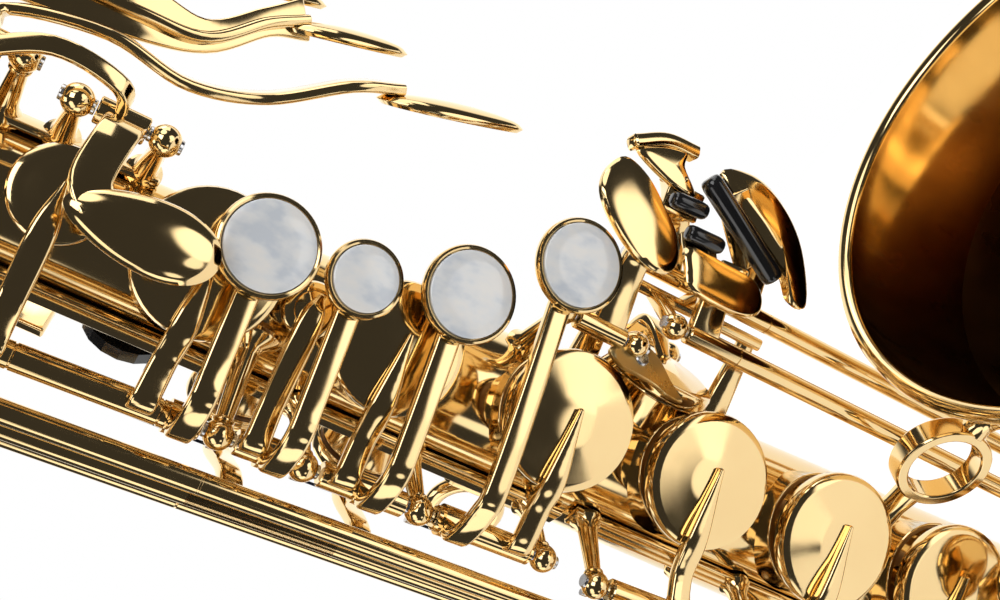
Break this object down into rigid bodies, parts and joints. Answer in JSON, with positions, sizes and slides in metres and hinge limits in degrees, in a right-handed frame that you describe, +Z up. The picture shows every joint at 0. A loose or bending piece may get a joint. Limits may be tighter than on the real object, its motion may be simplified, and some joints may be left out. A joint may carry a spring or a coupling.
{
  "type": "saxophone",
  "caption": "Alto saxophone with curved bow and flared bell, hinged key cups on rods, pearl finger touches, a little-finger table with rollers, curved neck and mouthpiece.",
  "frame": {"origin": "centre of the strap ring on the back of the body, from which the instrument hangs", "axes": "+Z up the body tube towards the neck, -Y from the body towards the bell, +X to the player's left"},
  "size_m": [0.1258, 0.3944, 0.6996],
  "materials": {
    "brass": "polished, gold lacquered",
    "nacre": "mother-of-pearl",
    "resin": "polished black",
    "cork": "sanded cork",
    "cane": "planed cane"
  },
  "bodies": {
    "instrument": {"body_tube": "brass", "bow": "brass", "bell": "brass", "bow_ferrule_body": "brass", "bow_ferrule_bell": "brass", "bell_brace": "brass", "neck_receiver": "brass", "neck_tube": "brass", "neck_cork": "cork", "mouthpiece": "resin", "reed": "cane", "ligature": "brass", "strap_ring": "brass", "thumb_hook": "brass", "thumb_rest": "resin", "bell_key_guard": "brass", "low_c_guard": "brass", "upper_rib": "brass", "lower_rib": "brass", "palm_rib": "brass", "octave_rib": "brass", "table_bracket": "brass"},
    "receiver_screw": {"receiver_screw": "brass"},
    "b_key": {"b_key": "brass", "b_pearl": "nacre"},
    "bis_key": {"bis_key": "brass", "bis_pearl": "nacre"},
    "a_key": {"a_key": "brass", "a_pearl": "nacre"},
    "g_key": {"g_key": "brass", "g_pearl": "nacre"},
    "f_sharp_key": {"f_sharp_key": "brass"},
    "f_key": {"f_key": "brass", "f_pearl": "nacre"},
    "e_key": {"e_key": "brass", "e_pearl": "nacre"},
    "d_key": {"d_key": "brass", "d_pearl": "nacre"},
    "front_f_key": {"front_f_key": "brass"},
    "palm_d_key": {"palm_d_key": "brass"},
    "palm_eb_key": {"palm_eb_key": "brass"},
    "palm_f_key": {"palm_f_key": "brass"},
    "side_c_key": {"side_c_key": "brass"},
    "side_bb_key": {"side_bb_key": "brass"},
    "high_e_key": {"high_e_key": "brass"},
    "high_f_sharp_key": {"high_f_sharp_key": "brass"},
    "g_sharp_lever": {"g_sharp_lever": "brass"},
    "g_sharp_key": {"g_sharp_key": "brass"},
    "c_sharp_key": {"c_sharp_key": "brass"},
    "low_b_key": {"low_b_key": "brass"},
    "low_bb_key": {"low_bb_key": "brass"},
    "low_eb_key": {"low_eb_key": "brass"},
    "low_c_key": {"low_c_key": "brass"},
    "octave_lever": {"octave_lever": "brass"},
    "neck_octave_key": {"neck_octave_key": "brass"},
    "c_sharp_roller": {"c_sharp_roller": "resin"},
    "low_b_roller": {"low_b_roller": "resin"},
    "low_bb_roller": {"low_bb_roller": "resin"}
  },
  "joints": [
    {"name": "b_key_hinge", "type": "hinge", "parent": "instrument", "child": "b_key", "pos_m": [-0.03276, -0.02221, 0.103], "axis": [0, 0, 1], "range_deg": [0, 6], "stiffness_Nm_per_rad": 0.05},
    {"name": "bis_key_hinge", "type": "hinge", "parent": "instrument", "child": "bis_key", "pos_m": [-0.03276, -0.02221, 0.0608], "axis": [0, 0, 1], "range_deg": [0, 6], "stiffness_Nm_per_rad": 0.05},
    {"name": "a_key_hinge", "type": "hinge", "parent": "instrument", "child": "a_key", "pos_m": [-0.03276, -0.02221, 0.039], "axis": [0, 0, 1], "range_deg": [0, 6], "stiffness_Nm_per_rad": 0.05},
    {"name": "g_key_hinge", "type": "hinge", "parent": "instrument", "child": "g_key", "pos_m": [-0.03276, -0.02221, 0.011], "axis": [0, 0, 1], "range_deg": [0, 6], "stiffness_Nm_per_rad": 0.05},
    {"name": "f_sharp_key_hinge", "type": "hinge", "parent": "instrument", "child": "f_sharp_key", "pos_m": [-0.03632, -0.02356, -0.037], "axis": [0, 0, 1], "range_deg": [0, 6], "stiffness_Nm_per_rad": 0.05},
    {"name": "f_key_hinge", "type": "hinge", "parent": "instrument", "child": "f_key", "pos_m": [-0.03632, -0.02356, -0.09], "axis": [0, 0, 1], "range_deg": [0, 6], "stiffness_Nm_per_rad": 0.05},
    {"name": "e_key_hinge", "type": "hinge", "parent": "instrument", "child": "e_key", "pos_m": [-0.03632, -0.02356, -0.134], "axis": [0, 0, 1], "range_deg": [0, 6], "stiffness_Nm_per_rad": 0.05},
    {"name": "d_key_hinge", "type": "hinge", "parent": "instrument", "child": "d_key", "pos_m": [-0.03632, -0.02356, -0.159], "axis": [0, 0, 1], "range_deg": [0, 6], "stiffness_Nm_per_rad": 0.05},
    {"name": "front_f_hinge", "type": "hinge", "parent": "instrument", "child": "front_f_key", "pos_m": [-0.009, -0.06071, 0.108], "axis": [0, 0, -1], "range_deg": [0, 5], "stiffness_Nm_per_rad": 0.05},
    {"name": "palm_d_hinge", "type": "hinge", "parent": "instrument", "child": "palm_d_key", "pos_m": [0.002, -0.05822, 0.1355], "axis": [0, 0, 1], "range_deg": [0, 8], "stiffness_Nm_per_rad": 0.05},
    {"name": "palm_eb_hinge", "type": "hinge", "parent": "instrument", "child": "palm_eb_key", "pos_m": [0.002, -0.05822, 0.1525], "axis": [0, 0, 1], "range_deg": [0, 8], "stiffness_Nm_per_rad": 0.05},
    {"name": "palm_f_hinge", "type": "hinge", "parent": "instrument", "child": "palm_f_key", "pos_m": [0.002, -0.05822, 0.1675], "axis": [0, 0, 1], "range_deg": [0, 8], "stiffness_Nm_per_rad": 0.05},
    {"name": "side_c_hinge", "type": "hinge", "parent": "instrument", "child": "side_c_key", "pos_m": [-0.03828, -0.01452, 0.015], "axis": [0, 0, 1], "range_deg": [0, 6], "stiffness_Nm_per_rad": 0.05},
    {"name": "side_bb_hinge", "type": "hinge", "parent": "instrument", "child": "side_bb_key", "pos_m": [-0.03514, -0.0081, -0.013], "axis": [0, 0, 1], "range_deg": [0, 6], "stiffness_Nm_per_rad": 0.05},
    {"name": "high_e_hinge", "type": "hinge", "parent": "instrument", "child": "high_e_key", "pos_m": [-0.03094, -0.00232, 0.035], "axis": [0, 0, 1], "range_deg": [0, 6], "stiffness_Nm_per_rad": 0.05},
    {"name": "high_f_sharp_hinge", "type": "hinge", "parent": "instrument", "child": "high_f_sharp_key", "pos_m": [-0.0258, 0.00265, 0.015], "axis": [0, 0, 1], "range_deg": [0, 6], "stiffness_Nm_per_rad": 0.05},
    {"name": "g_sharp_lever_hinge", "type": "hinge", "parent": "instrument", "child": "g_sharp_lever", "pos_m": [-0.0036, -0.06182, 0.004], "axis": [0, 0, 1], "range_deg": [0, 8], "stiffness_Nm_per_rad": 0.05},
    {"name": "g_sharp_hinge", "type": "hinge", "parent": "instrument", "child": "g_sharp_key", "pos_m": [0.026, -0.04822, -0.021], "axis": [0, 0, 1], "range_deg": [0, 8], "stiffness_Nm_per_rad": 0.05},
    {"name": "c_sharp_hinge", "type": "hinge", "parent": "instrument", "child": "c_sharp_key", "pos_m": [0.022, -0.06921, -0.149], "axis": [0, 0, 1], "range_deg": [0, 5], "stiffness_Nm_per_rad": 0.05},
    {"name": "low_b_hinge", "type": "hinge", "parent": "instrument", "child": "low_b_key", "pos_m": [0.002, -0.06721, -0.136], "axis": [0, 0, 1], "range_deg": [0, 6.5], "stiffness_Nm_per_rad": 0.05},
    {"name": "low_bb_hinge", "type": "hinge", "parent": "instrument", "child": "low_bb_key", "pos_m": [0.013, -0.07322, -0.117], "axis": [0, 0, 1], "range_deg": [0, 6], "stiffness_Nm_per_rad": 0.05},
    {"name": "low_eb_hinge", "type": "hinge", "parent": "instrument", "child": "low_eb_key", "pos_m": [-0.041, -0.03721, -0.256], "axis": [0, 0, 1], "range_deg": [0, 8], "stiffness_Nm_per_rad": 0.05},
    {"name": "low_c_hinge", "type": "hinge", "parent": "instrument", "child": "low_c_key", "pos_m": [-0.041, -0.03721, -0.334], "axis": [0, 0, 1], "range_deg": [0, 7], "stiffness_Nm_per_rad": 0.05},
    {"name": "octave_hinge", "type": "hinge", "parent": "instrument", "child": "octave_lever", "pos_m": [0.007, -0.00321, 0.123], "axis": [-1, 0, 0], "range_deg": [0, 4], "stiffness_Nm_per_rad": 0.05},
    {"name": "neck_octave_hinge", "type": "hinge", "parent": "instrument", "child": "neck_octave_key", "pos_m": [0, -0.00359, 0.27904], "axis": [1, 0, 0], "range_deg": [0, 6], "stiffness_Nm_per_rad": 0.05},
    {"name": "c_sharp_roller_spin", "type": "hinge", "parent": "c_sharp_key", "child": "c_sharp_roller", "pos_m": [0.00882, -0.09093, -0.00125], "axis": [0.0604, -0.0472, -0.9971], "continuous": true},
    {"name": "low_b_roller_spin", "type": "hinge", "parent": "low_b_key", "child": "low_b_roller", "pos_m": [0.00441, -0.08748, -0.00685], "axis": [0.0423, -0.0331, -0.9986], "continuous": true},
    {"name": "low_bb_roller_spin", "type": "hinge", "parent": "low_bb_key", "child": "low_bb_roller", "pos_m": [0.00961, -0.09155, -0.01555], "axis": [-0.4405, 0.3442, -0.8292], "continuous": true},
    {"name": "receiver_screw_turn", "type": "hinge", "parent": "instrument", "child": "receiver_screw", "pos_m": [0, -0.00872, 0.193], "axis": [1, 0, 0], "range_deg": [0, 180]}
  ],
  "couplings": [
    {"joint": "g_sharp_hinge", "follows": "g_sharp_lever_hinge", "ratio": 1},
    {"joint": "f_sharp_key_hinge", "follows": "f_key_hinge", "ratio": 1},
    {"joint": "neck_octave_hinge", "follows": "octave_hinge", "ratio": 1.5}
  ]
}
